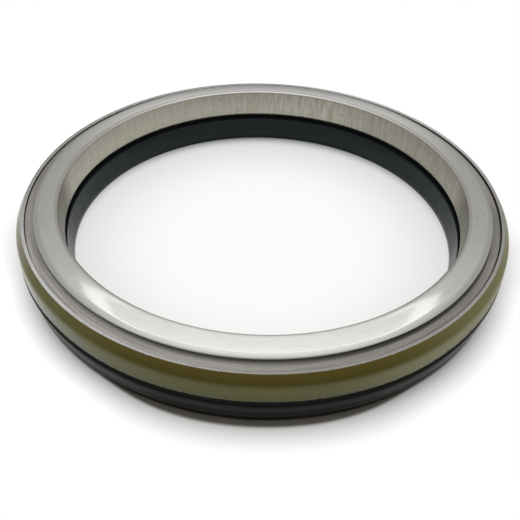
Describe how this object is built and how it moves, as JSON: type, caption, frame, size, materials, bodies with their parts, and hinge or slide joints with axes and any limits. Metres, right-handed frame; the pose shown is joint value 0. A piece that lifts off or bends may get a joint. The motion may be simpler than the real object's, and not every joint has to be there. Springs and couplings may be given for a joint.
{
  "type": "oil seal",
  "caption": "Unitized oil seal for a wheel hub: a lacquered steel case with rubber sealing lips and bead, and a bright wear sleeve that turns inside it.",
  "frame": {"origin": "on the seal's axis, in the plane of its rubber face, which it rests on", "axes": "+Z along the seal's axis, from the rubber face to the sleeve's flange"},
  "size_m": [0.1524, 0.1524, 0.0213],
  "materials": {
    "lacquered_steel": "translucent olive lacquer over steel, satin gloss",
    "black_rubber": "moulded, smooth satin",
    "brushed_ring_steel": "dull grey, finely turned",
    "spring_steel": "drawn wire, bright",
    "bright_sleeve_steel": "bright, polished flange and matte mouth",
    "lining_rubber": "moulded, matte"
  },
  "bodies": {
    "case": {"outer_case": "lacquered_steel", "case_rubber": "black_rubber", "garter_spring": "spring_steel", "inner_case_ring": "brushed_ring_steel"},
    "sleeve": {"wear_sleeve": "bright_sleeve_steel", "sleeve_lining": "lining_rubber"}
  },
  "joints": [
    {"name": "sleeve_spin", "type": "hinge", "parent": "case", "child": "sleeve", "pos_m": [0, 0, 0.009], "axis": [0, 0, 1], "continuous": true}
  ]
}
